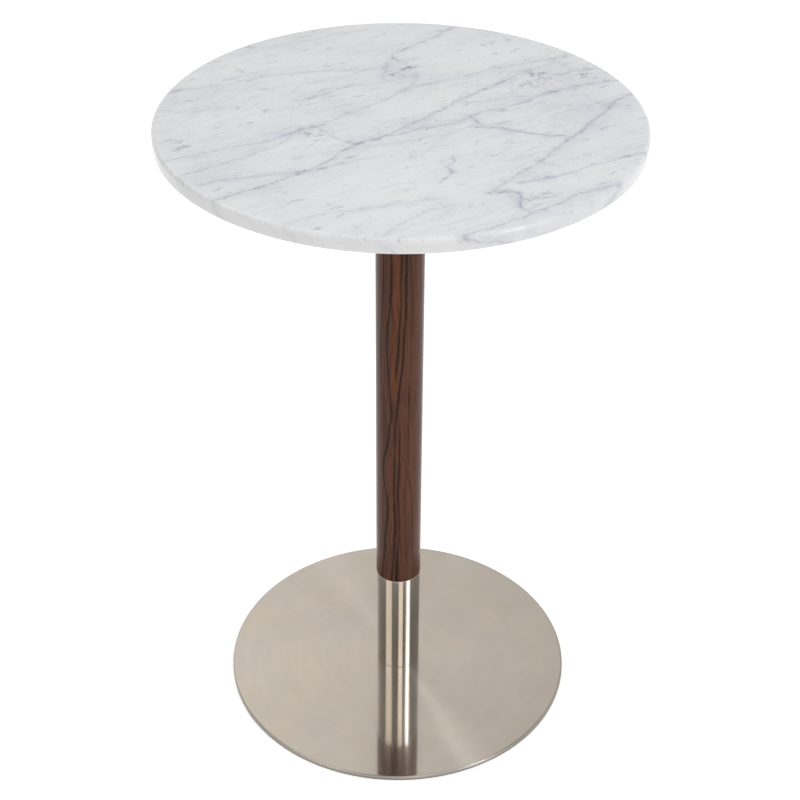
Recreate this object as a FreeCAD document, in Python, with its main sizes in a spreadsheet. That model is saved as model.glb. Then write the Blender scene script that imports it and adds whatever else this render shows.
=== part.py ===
import FreeCAD, Part
import os

import Sketcher

# Round pedestal table: a marble top on a wood and steel column with a flat round base.
# Millimetres, +Z up, origin on the floor under the middle of the column.

SIZES = {
    # Marble top
    "table_height": 890.0,
    "top_diameter": 600.0,
    "top_thickness": 18.0,
    "top_upper_round": 5.0,
    "top_lower_round": 2.0,
    # Steel plate and rubber sheet under the marble
    "plate_diameter": 280.0,
    "plate_thickness": 5.0,
    "plate_edge_chamfer": 1.0,
    "gasket_thickness": 1.5,
    "gasket_inset": 2.0,
    # Inserts in the marble, with the screws and washers that hold the plate to them
    "insert_diameter": 10.0,
    "insert_length": 11.0,
    "insert_groove_width": 2.0,
    "insert_groove_depth": 0.8,
    "insert_hole_reserve": 1.0,
    "top_screw_count": 4,
    "top_screw_circle": 230.0,
    "top_screw_diameter": 6.0,
    "top_screw_length": 16.0,
    "top_screw_head_diameter": 11.0,
    "top_screw_head_height": 3.6,
    "top_screw_head_round": 1.4,
    "top_screw_socket": 4.0,
    "top_screw_socket_depth": 2.0,
    "washer_diameter": 14.0,
    "washer_thickness": 1.6,
    # Countersunk screws at both ends of the core tube
    "end_screw_count": 4,
    "end_screw_circle": 30.0,
    "end_screw_diameter": 8.0,
    "end_screw_length": 20.0,
    "end_screw_head_diameter": 16.0,
    "end_screw_socket": 5.0,
    "end_screw_socket_depth": 2.6,
    "countersink_angle": 90.0,
    # Core tube with its welded plugs
    "core_diameter": 50.8,
    "core_wall": 2.0,
    "plug_thickness": 20.0,
    # Wood sleeve of the column
    "sleeve_diameter": 63.6,
    "veneer_thickness": 0.6,
    "veneer_seam": 0.2,
    "seal_thickness": 1.5,
    "spigot_wall": 2.5,
    "spigot_height": 10.0,
    # Steel collar below the wood
    "collar_diameter": 63.0,
    "collar_wall": 1.5,
    "collar_height": 169.0,
    "collar_edge_chamfer": 0.4,
    "sleeve_ring_skirt": 14.0,
    "collar_ring_height": 12.0,
    # Base
    "base_diameter": 496.0,
    "cover_sheet": 1.0,
    "cover_round": 2.0,
    "weight_thickness": 5.0,
    "pad_count": 8,
    "pad_circle": 446.0,
    "pad_diameter": 30.0,
    "pad_height": 1.0,
    # Clearances, each measured on one side
    "slide_gap": 0.3,
    "cover_gap": 0.5,
    "screw_hole_gap": 0.25,
    "screw_head_gap": 0.05,
    "thread_gap": 0.05,
    "weld_gap": 0.05,
    "glue_gap": 0.1,
}

FULL_TURN = 360
HALF_TURN = 180
HEXAGON_SIDES = 6
HEXAGON_HALF_ANGLE = 30

doc = FreeCAD.newDocument("pedestal_table")
sheet = doc.addObject("Spreadsheet::Sheet", "sizes")
for row, (alias, value) in enumerate(SIZES.items(), start=1):
    sheet.set(f"A{row}", alias.replace("_", " "))
    sheet.set(f"B{row}", str(value))
    sheet.setAlias(f"B{row}", alias)
doc.recompute()

# Levels above the floor
COVER_UNDERSIDE = "(sizes.pad_height + sizes.weight_thickness)"
COVER_TOP = f"({COVER_UNDERSIDE} + sizes.cover_sheet)"
SLEEVE_FOOT = f"({COVER_TOP} + sizes.collar_height)"
MARBLE_UNDERSIDE = "(sizes.table_height - sizes.top_thickness)"
PLATE_TOP = f"({MARBLE_UNDERSIDE} - sizes.gasket_thickness)"
PLATE_UNDERSIDE = f"({PLATE_TOP} - sizes.plate_thickness)"

# Lengths along the column
CORE_LENGTH = f"({PLATE_UNDERSIDE} - {COVER_UNDERSIDE})"
SLEEVE_LENGTH = f"({PLATE_UNDERSIDE} - sizes.seal_thickness - {SLEEVE_FOOT})"

# Radii shared by pieces that fit each other
CORE_RADIUS = "sizes.core_diameter / 2"
CORE_BORE_RADIUS = f"({CORE_RADIUS} - sizes.core_wall)"
OVER_CORE_RADIUS = f"({CORE_RADIUS} + sizes.slide_gap)"
SPIGOT_RADIUS = f"({OVER_CORE_RADIUS} + sizes.spigot_wall)"
COLLAR_BORE_RADIUS = "(sizes.collar_diameter / 2 - sizes.collar_wall)"
IN_COLLAR_RADIUS = f"({COLLAR_BORE_RADIUS} - sizes.slide_gap)"
VENEER_BACK_RADIUS = "(sizes.sleeve_diameter / 2 - sizes.veneer_thickness)"
TIMBER_RADIUS = f"({VENEER_BACK_RADIUS} - sizes.glue_gap)"
TOP_SCREW_HOLE = "sizes.top_screw_diameter + 2 * sizes.screw_hole_gap"
INSERT_BORE_RADIUS = "(sizes.top_screw_diameter / 2 + sizes.thread_gap)"

# Radii of the bolt circles, where the holes and screws stand
TOP_SCREW_RADIUS = "sizes.top_screw_circle / 2"
END_SCREW_RADIUS = "sizes.end_screw_circle / 2"


def number(expression):
    """The value that an expression on the sheet has now."""
    return float(sheet.evalExpression(expression))


def new_piece(name, lift="0"):
    """An empty body, raised above the floor by an expression."""
    piece = doc.addObject("PartDesign::Body", name)
    piece.Label = name
    piece.setExpression("Placement.Base.z", lift)
    return piece


def datum(piece, role):
    """One of the body's own base planes or axes."""
    return next(item for item in piece.Origin.OriginFeatures if item.Role == role)


def new_sketch(piece, name, plane, out="0", up="0"):
    """A sketch on a base plane of its body, shifted out from the column's axis and up."""
    sketch = piece.newObject("Sketcher::SketchObject", name)
    sketch.AttachmentSupport = [(datum(piece, plane), "")]
    sketch.MapMode = "FlatFace"
    sketch.setExpression("AttachmentOffset.Base.x", out)
    sketch.setExpression(f"AttachmentOffset.Base.{'z' if plane == 'XY_Plane' else 'y'}", up)
    return sketch


def hold_corner(sketch, line, direction, axis, expression):
    """Ties the start of a line to the sketch's origin along one direction."""
    if expression == "0":
        sketch.addConstraint(Sketcher.Constraint("PointOnObject", line, 1, axis))
        return
    tie = Sketcher.Constraint(direction, -1, 1, line, 1, number(expression))
    sketch.setExpression(f"Constraints[{sketch.addConstraint(tie)}]", expression)


def draw_section(piece, name, corners, plane="XZ_Plane", out="0", up="0"):
    """A closed half section, each corner given by its radius and height as expressions."""
    sketch = new_sketch(piece, name, plane, out, up)
    points = [FreeCAD.Vector(number(radius), number(height), 0) for radius, height in corners]
    following = points[1:] + points[:1]
    for start, end in zip(points, following):
        sketch.addGeometry(Part.LineSegment(start, end))
    for line in range(len(points)):
        sketch.addConstraint(Sketcher.Constraint("Coincident", line, 2, (line + 1) % len(points), 1))
    for line, (radius, height) in enumerate(corners):
        hold_corner(sketch, line, "DistanceX", -2, radius)
        hold_corner(sketch, line, "DistanceY", -1, height)
    return sketch


def turn(piece, name, corners, **place):
    """A solid of revolution about the upright axis of its section."""
    sketch = draw_section(piece, f"{name}_section", corners, **place)
    solid = piece.newObject("PartDesign::Revolution", name)
    solid.Profile = sketch
    solid.ReferenceAxis = (sketch, ["V_Axis"])
    solid.Angle = FULL_TURN
    doc.recompute()
    return solid


def turn_ring(piece, name, inner, outer, height, **place):
    """A plain ring or, with an inner radius of 0, a disc."""
    return turn(piece, name, [(inner, "0"), (outer, "0"), (outer, height), (inner, height)], **place)


def draw_circle(piece, name, diameter, out, up="0"):
    """A circle at a place on the bolt circle."""
    sketch = new_sketch(piece, name, "XY_Plane", out, up)
    middle = FreeCAD.Vector(0, 0, 0)
    circle = sketch.addGeometry(Part.Circle(middle, FreeCAD.Vector(0, 0, 1), number(diameter) / 2))
    sketch.addConstraint(Sketcher.Constraint("Coincident", circle, 3, -1, 1))
    size = sketch.addConstraint(Sketcher.Constraint("Diameter", circle, number(diameter)))
    sketch.setExpression(f"Constraints[{size}]", diameter)
    return sketch


def drill(piece, name, diameter, depth, out):
    """A plain hole from the underside, upwards."""
    hole = piece.newObject("PartDesign::Pocket", name)
    hole.Profile = draw_circle(piece, f"{name}_circle", diameter, out)
    hole.Reversed = True
    hole.setExpression("Length", depth)
    doc.recompute()
    return hole


def countersink(piece, name, out, from_top, up="0"):
    """A through hole with a cone for a flat screw head, on the upper or lower face."""
    clear_diameter = "sizes.end_screw_diameter + 2 * sizes.screw_hole_gap"
    sketch = draw_circle(piece, f"{name}_circle", clear_diameter, out, up)
    doc.recompute()
    hole = piece.newObject("PartDesign::Hole", name)
    hole.Profile = sketch
    hole.Reversed = not from_top
    hole.DepthType = "ThroughAll"
    hole.HoleCutType = "Countersink"
    hole.HoleCutCustomValues = True
    hole.setExpression("Diameter", clear_diameter)
    hole.setExpression("HoleCutDiameter", "sizes.end_screw_head_diameter + 2 * sizes.screw_head_gap")
    hole.setExpression("HoleCutCountersinkAngle", "sizes.countersink_angle")
    doc.recompute()
    return hole


def spread(piece, name, count, features=None):
    """Repeats features, or the whole piece, evenly round the column."""
    pattern = piece.newObject("PartDesign::PolarPattern", name)
    if features is None:
        pattern.TransformMode = "Whole shape"
    else:
        pattern.Originals = features
    pattern.Axis = (datum(piece, "Z_Axis"), [""])
    pattern.Angle = FULL_TURN
    pattern.setExpression("Occurrences", count)
    piece.Tip = pattern
    doc.recompute()
    return pattern


def rims(feature, radius, height):
    """Names of the round edges at a radius and height, both as expressions."""
    tolerance = 1e-4
    found = []
    for place, edge in enumerate(feature.Shape.Edges, start=1):
        same_radius = abs(edge.BoundBox.XMax - number(radius)) < tolerance
        low, high = edge.BoundBox.ZMin, edge.BoundBox.ZMax
        if same_radius and max(abs(low - number(height)), abs(high - number(height))) < tolerance:
            found.append(f"Edge{place}")
    if not found:
        raise ValueError(f"{feature.Label} has no rim at radius {radius} and height {height}")
    return found


def ease(piece, kind, name, base, edges, size):
    """Rounds or chamfers edges of a feature: kind is Fillet or Chamfer."""
    finish = piece.newObject(f"PartDesign::{kind}", name)
    finish.Base = (base, edges)
    finish.setExpression("Radius" if kind == "Fillet" else "Size", size)
    doc.recompute()
    return finish


def sink_hexagon(piece, name, across, depth, out, up="0"):
    """A hexagon socket, cut upwards from its own level."""
    socket = piece.newObject("PartDesign::SubtractivePrism", name)
    socket.AttachmentSupport = [(datum(piece, "XY_Plane"), "")]
    socket.MapMode = "FlatFace"
    socket.Polygon = HEXAGON_SIDES
    socket.setExpression("Circumradius", f"{across} / 2 / cos({HEXAGON_HALF_ANGLE})")
    socket.setExpression("Height", depth)
    socket.setExpression("AttachmentOffset.Base.x", out)
    socket.setExpression("AttachmentOffset.Base.z", up)
    doc.recompute()
    return socket


def make_marble_top():
    """Stone disc with a rounded upper edge and four blind holes for the inserts."""
    piece = new_piece("marble_top", MARBLE_UNDERSIDE)
    edge = "sizes.top_diameter / 2"
    slab = turn_ring(piece, "slab", "0", edge, "sizes.top_thickness")
    upper_rim = rims(slab, edge, "sizes.top_thickness")
    eased = ease(piece, "Fillet", "upper_edge", slab, upper_rim, "sizes.top_upper_round")
    ease(piece, "Fillet", "lower_edge", eased, rims(eased, edge, "0"), "sizes.top_lower_round")
    diameter = "sizes.insert_diameter + 2 * sizes.glue_gap"
    depth = "sizes.insert_length + sizes.insert_hole_reserve"
    hole = drill(piece, "insert_hole", diameter, depth, TOP_SCREW_RADIUS)
    spread(piece, "insert_holes", "sizes.top_screw_count", [hole])
    return piece


def make_threaded_inserts():
    """Brass inserts, each with a groove that the glue grips."""
    piece = new_piece("threaded_inserts", MARBLE_UNDERSIDE)
    piece.AllowCompound = True
    outer = "sizes.insert_diameter / 2"
    waist = f"({outer} - sizes.insert_groove_depth)"
    groove_low = "(sizes.insert_length - sizes.insert_groove_width) / 2"
    groove_high = "(sizes.insert_length + sizes.insert_groove_width) / 2"
    section = [
        (INSERT_BORE_RADIUS, "0"),
        (outer, "0"),
        (outer, groove_low),
        (waist, groove_low),
        (waist, groove_high),
        (outer, groove_high),
        (outer, "sizes.insert_length"),
        (INSERT_BORE_RADIUS, "sizes.insert_length"),
    ]
    insert = turn(piece, "insert", section, out=TOP_SCREW_RADIUS)
    spread(piece, "inserts", "sizes.top_screw_count", [insert])
    return piece


def make_plate_gasket():
    """Rubber sheet that beds the stone on the plate."""
    piece = new_piece("plate_gasket", PLATE_TOP)
    edge = "sizes.plate_diameter / 2 - sizes.gasket_inset"
    turn_ring(piece, "gasket", "0", edge, "sizes.gasket_thickness")
    hole = drill(piece, "screw_hole", TOP_SCREW_HOLE, "sizes.gasket_thickness", TOP_SCREW_RADIUS)
    spread(piece, "screw_holes", "sizes.top_screw_count", [hole])
    return piece


def make_top_plate():
    """Steel disc with countersunk holes over the core tube and plain holes near its edge."""
    piece = new_piece("top_plate", PLATE_UNDERSIDE)
    edge = "sizes.plate_diameter / 2"
    disc = turn_ring(piece, "plate", "0", edge, "sizes.plate_thickness")
    ease(piece, "Chamfer", "lower_edge", disc, rims(disc, edge, "0"), "sizes.plate_edge_chamfer")
    hole = drill(piece, "screw_hole", TOP_SCREW_HOLE, "sizes.plate_thickness", TOP_SCREW_RADIUS)
    spread(piece, "screw_holes", "sizes.top_screw_count", [hole])
    seat = countersink(piece, "head_seat", END_SCREW_RADIUS, True, up="sizes.plate_thickness")
    spread(piece, "head_seats", "sizes.end_screw_count", [seat])
    return piece


def make_top_screws():
    """Round-headed screws that hold the plate up to the inserts."""
    head_level = f"({PLATE_UNDERSIDE} - sizes.washer_thickness - sizes.top_screw_head_height)"
    piece = new_piece("top_screws", head_level)
    piece.AllowCompound = True
    head = "sizes.top_screw_head_diameter / 2"
    shank = "sizes.top_screw_diameter / 2"
    shoulder = "sizes.top_screw_head_height"
    tip = f"({shoulder} + sizes.top_screw_length)"
    section = [("0", "0"), (head, "0"), (head, shoulder), (shank, shoulder), (shank, tip), ("0", tip)]
    screw = turn(piece, "screw", section, out=TOP_SCREW_RADIUS)
    rim = rims(screw, f"{TOP_SCREW_RADIUS} + {head}", "0")
    ease(piece, "Fillet", "dome", screw, rim, "sizes.top_screw_head_round")
    depth = "sizes.top_screw_socket_depth"
    sink_hexagon(piece, "socket", "sizes.top_screw_socket", depth, TOP_SCREW_RADIUS)
    spread(piece, "screws", "sizes.top_screw_count")
    return piece


def make_top_washers():
    """Flat washers between the plate and the screw heads."""
    piece = new_piece("top_washers", f"{PLATE_UNDERSIDE} - sizes.washer_thickness")
    piece.AllowCompound = True
    bore = f"({TOP_SCREW_HOLE}) / 2"
    washer = turn_ring(
        piece, "washer", bore, "sizes.washer_diameter / 2", "sizes.washer_thickness", out=TOP_SCREW_RADIUS
    )
    spread(piece, "washers", "sizes.top_screw_count", [washer])
    return piece


def make_end_screws(name, level, head_up):
    """Countersunk screws for one end of the core tube, heads up or down."""
    piece = new_piece(name, level)
    piece.AllowCompound = True
    if head_up:
        piece.Placement.Rotation = FreeCAD.Rotation(FreeCAD.Vector(1, 0, 0), HALF_TURN)
    head = "sizes.end_screw_head_diameter / 2"
    shank = "sizes.end_screw_diameter / 2"
    cone = f"({head} - {shank}) / tan(sizes.countersink_angle / 2)"
    tip = "sizes.end_screw_length"
    section = [("0", "0"), (head, "0"), (shank, cone), (shank, tip), ("0", tip)]
    turn(piece, "screw", section, out=END_SCREW_RADIUS)
    depth = "sizes.end_screw_socket_depth"
    sink_hexagon(piece, "socket", "sizes.end_screw_socket", depth, END_SCREW_RADIUS)
    spread(piece, "screws", "sizes.end_screw_count")
    return piece


def make_core_tube():
    """Steel tube from the weight plate up to the top plate."""
    piece = new_piece("core_tube", COVER_UNDERSIDE)
    turn_ring(piece, "tube", CORE_BORE_RADIUS, CORE_RADIUS, CORE_LENGTH)
    return piece


def make_plug(name, level):
    """Steel plug, welded flush into one end of the core tube and tapped for the end screws."""
    piece = new_piece(name, level)
    turn_ring(piece, "plug", "0", f"{CORE_BORE_RADIUS} - sizes.weld_gap", "sizes.plug_thickness")
    thread = "sizes.end_screw_diameter + 2 * sizes.thread_gap"
    hole = drill(piece, "tapped_hole", thread, "sizes.plug_thickness", END_SCREW_RADIUS)
    spread(piece, "tapped_holes", "sizes.end_screw_count", [hole])
    return piece


def make_sleeve_core():
    """Turned timber tube, counterbored at its foot for the spigot of the sleeve ring."""
    piece = new_piece("sleeve_core", SLEEVE_FOOT)
    counterbore = f"({SPIGOT_RADIUS} + sizes.slide_gap)"
    section = [
        (counterbore, "0"),
        (TIMBER_RADIUS, "0"),
        (TIMBER_RADIUS, SLEEVE_LENGTH),
        (OVER_CORE_RADIUS, SLEEVE_LENGTH),
        (OVER_CORE_RADIUS, "sizes.spigot_height"),
        (counterbore, "sizes.spigot_height"),
    ]
    turn(piece, "tube", section)
    return piece


def make_wood_veneer():
    """Thin wood wrapped round the timber tube, its butt seam at the back."""
    piece = new_piece("wood_veneer", SLEEVE_FOOT)
    face = "sizes.sleeve_diameter / 2"
    wrap = turn_ring(piece, "wrap", VENEER_BACK_RADIUS, face, SLEEVE_LENGTH, plane="YZ_Plane")
    seam_angle = f"sizes.veneer_seam / ({face}) * {HALF_TURN} / pi"
    wrap.setExpression("Angle", f"{FULL_TURN} - {seam_angle}")
    doc.recompute()
    return piece


def make_sleeve_seal():
    """Rubber ring that takes up the play between the wood and the top plate."""
    piece = new_piece("sleeve_seal", f"{PLATE_UNDERSIDE} - sizes.seal_thickness")
    turn_ring(piece, "seal", OVER_CORE_RADIUS, TIMBER_RADIUS, "sizes.seal_thickness")
    return piece


def make_sleeve_ring():
    """Stepped ring: its skirt fills the collar and its spigot lines up the wood above."""
    piece = new_piece("sleeve_ring", f"{SLEEVE_FOOT} - sizes.sleeve_ring_skirt")
    skirt = "sizes.sleeve_ring_skirt"
    top = f"({skirt} + sizes.spigot_height)"
    section = [
        (OVER_CORE_RADIUS, "0"),
        (IN_COLLAR_RADIUS, "0"),
        (IN_COLLAR_RADIUS, skirt),
        (SPIGOT_RADIUS, skirt),
        (SPIGOT_RADIUS, top),
        (OVER_CORE_RADIUS, top),
    ]
    turn(piece, "ring", section)
    return piece


def make_steel_collar():
    """Brushed steel tube that stands on the base cover and carries the wood."""
    piece = new_piece("steel_collar", COVER_TOP)
    face = "sizes.collar_diameter / 2"
    tube = turn_ring(piece, "tube", COLLAR_BORE_RADIUS, face, "sizes.collar_height")
    edges = rims(tube, face, "sizes.collar_height")
    ease(piece, "Chamfer", "top_edge", tube, edges, "sizes.collar_edge_chamfer")
    return piece


def make_collar_ring():
    """Ring that centres the foot of the collar on the core tube."""
    piece = new_piece("collar_ring", COVER_TOP)
    turn_ring(piece, "ring", OVER_CORE_RADIUS, IN_COLLAR_RADIUS, "sizes.collar_ring_height")
    return piece


def make_base_cover():
    """Pressed steel pan, upside down: a flat disc with a rounded, turned-down rim."""
    piece = new_piece("base_cover", "sizes.pad_height")
    face = "sizes.base_diameter / 2"
    inner = f"({face} - sizes.cover_sheet)"
    top = "(sizes.weight_thickness + sizes.cover_sheet)"
    section = [
        (OVER_CORE_RADIUS, "sizes.weight_thickness"),
        (inner, "sizes.weight_thickness"),
        (inner, "0"),
        (face, "0"),
        (face, top),
        (OVER_CORE_RADIUS, top),
    ]
    pan = turn(piece, "pan", section)
    outside = ease(piece, "Fillet", "outer_bend", pan, rims(pan, face, top), "sizes.cover_round")
    bend = rims(outside, inner, "sizes.weight_thickness")
    ease(piece, "Fillet", "inner_bend", outside, bend, "sizes.cover_round - sizes.cover_sheet")
    return piece


def make_base_weight():
    """Steel plate that weighs the base down, countersunk from below for the base screws."""
    piece = new_piece("base_weight", "sizes.pad_height")
    edge = "(sizes.base_diameter / 2 - sizes.cover_sheet - sizes.cover_gap)"
    disc = turn_ring(piece, "plate", "0", edge, "sizes.weight_thickness")
    rim = rims(disc, edge, "sizes.weight_thickness")
    ease(piece, "Chamfer", "upper_edge", disc, rim, "sizes.cover_round")
    seat = countersink(piece, "base_seat", END_SCREW_RADIUS, False)
    spread(piece, "base_seats", "sizes.end_screw_count", [seat])
    return piece


def make_floor_pads():
    """Round rubber pads near the rim of the base."""
    piece = new_piece("floor_pads")
    piece.AllowCompound = True
    turn_ring(piece, "pad", "0", "sizes.pad_diameter / 2", "sizes.pad_height", out="sizes.pad_circle / 2")
    spread(piece, "pads", "sizes.pad_count")
    return piece


pieces = [
    make_marble_top(),
    make_threaded_inserts(),
    make_plate_gasket(),
    make_top_plate(),
    make_top_screws(),
    make_top_washers(),
    make_end_screws("head_screws", PLATE_TOP, True),
    make_plug("head_plug", f"{PLATE_UNDERSIDE} - sizes.plug_thickness"),
    make_core_tube(),
    make_plug("foot_plug", COVER_UNDERSIDE),
    make_end_screws("base_screws", "sizes.pad_height", False),
    make_sleeve_core(),
    make_wood_veneer(),
    make_sleeve_seal(),
    make_sleeve_ring(),
    make_steel_collar(),
    make_collar_ring(),
    make_base_cover(),
    make_base_weight(),
    make_floor_pads(),
]
doc.recompute()

for item in doc.Objects:
    if "Invalid" in item.State or "Error" in item.State:
        raise RuntimeError(f"{item.Label} failed to build")
for piece in pieces:
    if piece.Shape.isNull() or not piece.Shape.isValid():
        raise RuntimeError(f"{piece.Label} is not a valid solid")

os.makedirs("parts", exist_ok=True)
for piece in pieces:
    piece.Shape.exportStep(f"parts/{piece.Label}.step")
    print(f"{piece.Label}: {len(piece.Shape.Solids)} solids, {piece.Shape.Volume:.1f} mm3")
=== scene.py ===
"""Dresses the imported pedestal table: marble top, veneered column, brushed steel collar and base."""

import math

import bmesh
import bpy
from bpy.props import FloatProperty, FloatVectorProperty, PointerProperty
from mathutils import Euler, Matrix, Vector


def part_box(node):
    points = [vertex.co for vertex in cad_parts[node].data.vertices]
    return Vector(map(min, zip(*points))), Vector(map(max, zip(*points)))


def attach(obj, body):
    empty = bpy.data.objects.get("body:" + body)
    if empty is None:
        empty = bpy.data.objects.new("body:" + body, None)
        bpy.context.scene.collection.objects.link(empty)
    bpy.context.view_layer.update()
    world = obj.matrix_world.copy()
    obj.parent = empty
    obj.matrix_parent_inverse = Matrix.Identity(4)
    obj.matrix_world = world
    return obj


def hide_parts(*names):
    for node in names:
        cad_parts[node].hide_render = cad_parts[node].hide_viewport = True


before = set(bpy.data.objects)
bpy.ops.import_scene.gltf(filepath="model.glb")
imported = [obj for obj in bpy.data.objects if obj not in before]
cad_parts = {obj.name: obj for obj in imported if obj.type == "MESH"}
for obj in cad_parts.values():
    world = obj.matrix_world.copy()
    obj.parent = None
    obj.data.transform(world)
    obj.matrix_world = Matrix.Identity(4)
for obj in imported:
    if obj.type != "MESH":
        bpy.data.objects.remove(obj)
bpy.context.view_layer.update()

bl_info = {
    "name": "Marble Pedestal Table",
    "version": (1, 0, 0),
    "blender": (4, 5, 0),
    "location": "View3D > Sidebar > Table",
    "description": "Models and finishes the visible pieces of a round pedestal table",
    "category": "Object",
}

BODY = "root"
MM = 0.001
CLOSE = 0.00002  # two levels nearer than this are the same level
SAME_SPOT = 0.000002  # two vertices nearer than this are merged
FLAT = 0.99  # a face looks up or down when its normal is this upright
DISC_STEPS = 256  # sides of the stone and of the base cover
TUBE_STEPS = 240  # steps that the veneer and the collar are spun in
SMOOTH_ANGLE = 35  # degrees; edges that bend more than this stay sharp
COLLAR_SMOOTH_ANGLE = 50
EDGE_BAND = 3 * MM  # ring of faces inside each rounded edge of the stone
INSERTS = 4


def tone(red, green, blue):
    """A colour as read on a screen, 0 to 255, turned into the light values that shaders use."""
    light = []
    for part in (red, green, blue):
        part /= 255
        light.append(part / 12.92 if part <= 0.04045 else ((part + 0.055) / 1.055) ** 2.4)
    return tuple(light)


def box_sizes(node):
    """A round node's outer radius, and its lowest and highest level."""
    low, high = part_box(node)
    return (high[0] - low[0]) / 2, low[2], high[2]


TOP_RADIUS, TOP_UNDERSIDE, TOP_SURFACE = box_sizes("marble_top")
VENEER_RADIUS, VENEER_FOOT, VENEER_HEAD = box_sizes("wood_veneer")
COLLAR_RADIUS, COLLAR_FOOT, COLLAR_HEAD = box_sizes("steel_collar")
COVER_RADIUS, COVER_FOOT, COVER_HEAD = box_sizes("base_cover")


# ---------------------------------------------------------------- what a user may change


def length(name, description, default):
    return FloatProperty(
        name=name,
        description=description,
        default=default,
        min=0.0,
        precision=4,
        subtype="DISTANCE",
        unit="LENGTH",
    )


def colour(name, description, default):
    return FloatVectorProperty(
        name=name,
        description=description,
        default=default,
        min=0.0,
        max=1.0,
        size=3,
        subtype="COLOR",
    )


class MarbleTopSettings(bpy.types.PropertyGroup):
    """Sizes and colours of the stone top."""

    radius: length("Radius", "Outer radius of the stone", TOP_RADIUS)
    underside: length("Underside", "Level of the stone's lower face", TOP_UNDERSIDE)
    surface: length("Surface", "Level of the stone's upper face", TOP_SURFACE)
    upper_round: length("Upper round", "Round on the upper edge", 5 * MM)
    lower_round: length("Lower round", "Round on the lower edge", 2 * MM)
    insert_circle: length("Insert circle", "Radius of the circle of insert holes", 115 * MM)
    insert_hole: length("Insert hole", "Radius of each insert hole", 4.5 * MM)
    insert_depth: length("Insert depth", "Depth of each insert hole", 11.5 * MM)
    stone: colour("Stone", "The white of the stone", tone(226, 227, 230))
    cloud: colour("Cloud", "The cool grey that clouds the white", tone(208, 212, 220))
    vein: colour("Vein", "The blue grey of the veins", tone(120, 130, 154))


class ColumnSettings(bpy.types.PropertyGroup):
    """Sizes and colours of the veneered column."""

    radius: length("Radius", "Outer radius of the veneer", VENEER_RADIUS)
    foot: length("Foot", "Level of the veneer's lower end", VENEER_FOOT)
    head: length("Head", "Level of the veneer's upper end", VENEER_HEAD)
    veneer: length("Veneer", "Thickness of the veneer", 0.6 * MM)
    seam: length("Seam", "Gap where the veneer's edges meet at the back", 0.2 * MM)
    heartwood: colour("Heartwood", "The brown of the wood", tone(91, 57, 44))
    stripe: colour("Stripe", "The dark stripes of the wood", tone(34, 19, 11))
    flame: colour("Flame", "The orange streaks of the wood", tone(105, 61, 38))


class SteelSettings(bpy.types.PropertyGroup):
    """Sizes and colours of the steel collar and base cover."""

    collar_radius: length("Collar radius", "Outer radius of the collar", COLLAR_RADIUS)
    collar_foot: length("Collar foot", "Level of the collar's lower end", COLLAR_FOOT)
    collar_head: length("Collar head", "Level of the collar's upper end", COLLAR_HEAD)
    collar_wall: length("Collar wall", "Wall of the collar", 1.5 * MM)
    collar_edge: length("Collar edge", "Broken edge at the collar's upper end", 0.4 * MM)
    collar_round: length("Collar round", "Round at the collar's lower end", 0.9 * MM)
    cover_radius: length("Cover radius", "Outer radius of the base cover", COVER_RADIUS)
    cover_foot: length("Cover foot", "Level of the cover's rim", COVER_FOOT)
    cover_head: length("Cover head", "Level of the cover's upper face", COVER_HEAD)
    cover_hole: length("Cover hole", "Radius of the hole in the middle", 25.7 * MM)
    cover_sheet: length("Cover sheet", "Thickness of the pressed sheet", 1 * MM)
    cover_bend: length("Cover bend", "Outer bend where the rim turns down", 2 * MM)
    steel: colour("Steel", "The warm grey of the brushed steel", (0.686, 0.647, 0.609))


class StudioSettings(bpy.types.PropertyGroup):
    """Colours of the studio around the table."""

    floor: colour("Floor", "The pale floor", (0.90, 0.90, 0.90))
    back: colour("Back", "The warm wall behind the table", (0.93, 0.883, 0.816))
    front: colour("Front", "The dim side behind the camera", (0.26, 0.244, 0.222))
    horizon: colour("Horizon", "The pale wall low down on all sides", (0.86, 0.855, 0.84))


# ---------------------------------------------------------------- modelling by hand


def begin(operator, **placing):
    """Adds a primitive with nothing else selected, applies its place and opens it for editing."""
    if bpy.context.object and bpy.context.object.mode != "OBJECT":
        bpy.ops.object.mode_set(mode="OBJECT")
    bpy.ops.object.select_all(action="DESELECT")
    operator(**placing)
    bpy.ops.object.transform_apply(location=True, rotation=True, scale=True)
    bpy.ops.object.mode_set(mode="EDIT")
    return bpy.context.object


def choose(kind, wanted):
    """Selects only the vertices, edges or faces that are wanted."""
    bpy.ops.mesh.select_mode(type=kind)
    bpy.ops.mesh.select_all(action="DESELECT")
    mesh = bpy.context.object.data
    shape = bmesh.from_edit_mesh(mesh)
    items = {"VERT": shape.verts, "EDGE": shape.edges, "FACE": shape.faces}[kind]
    count = 0
    for item in items:
        if wanted(item):
            item.select_set(True)
            count += 1
    shape.select_flush_mode()
    bmesh.update_edit_mesh(mesh)
    if not count:
        raise RuntimeError("nothing to select on " + bpy.context.object.name)


def wall_section(inner, outer, foot, head):
    """A thin upright strip at the back, the cut face of a tube's wall, ready to be spun."""
    middle = Vector((0, (inner + outer) / 2, (foot + head) / 2))
    upright = (0, math.pi / 2, 0)
    strip = begin(bpy.ops.mesh.primitive_plane_add, size=1, location=middle, rotation=upright)
    bpy.ops.mesh.select_all(action="SELECT")
    bpy.ops.transform.resize(value=(1, outer - inner, head - foot), center_override=middle)
    return strip


def at_level(level):
    """Edges or faces that lie at a level."""
    return lambda item: all(abs(v.co.z - level) < CLOSE for v in item.verts)


def facing(way, level):
    """Faces that look up or down at a level."""
    return lambda face: face.normal.z * way > FLAT and at_level(level)(face)


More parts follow.
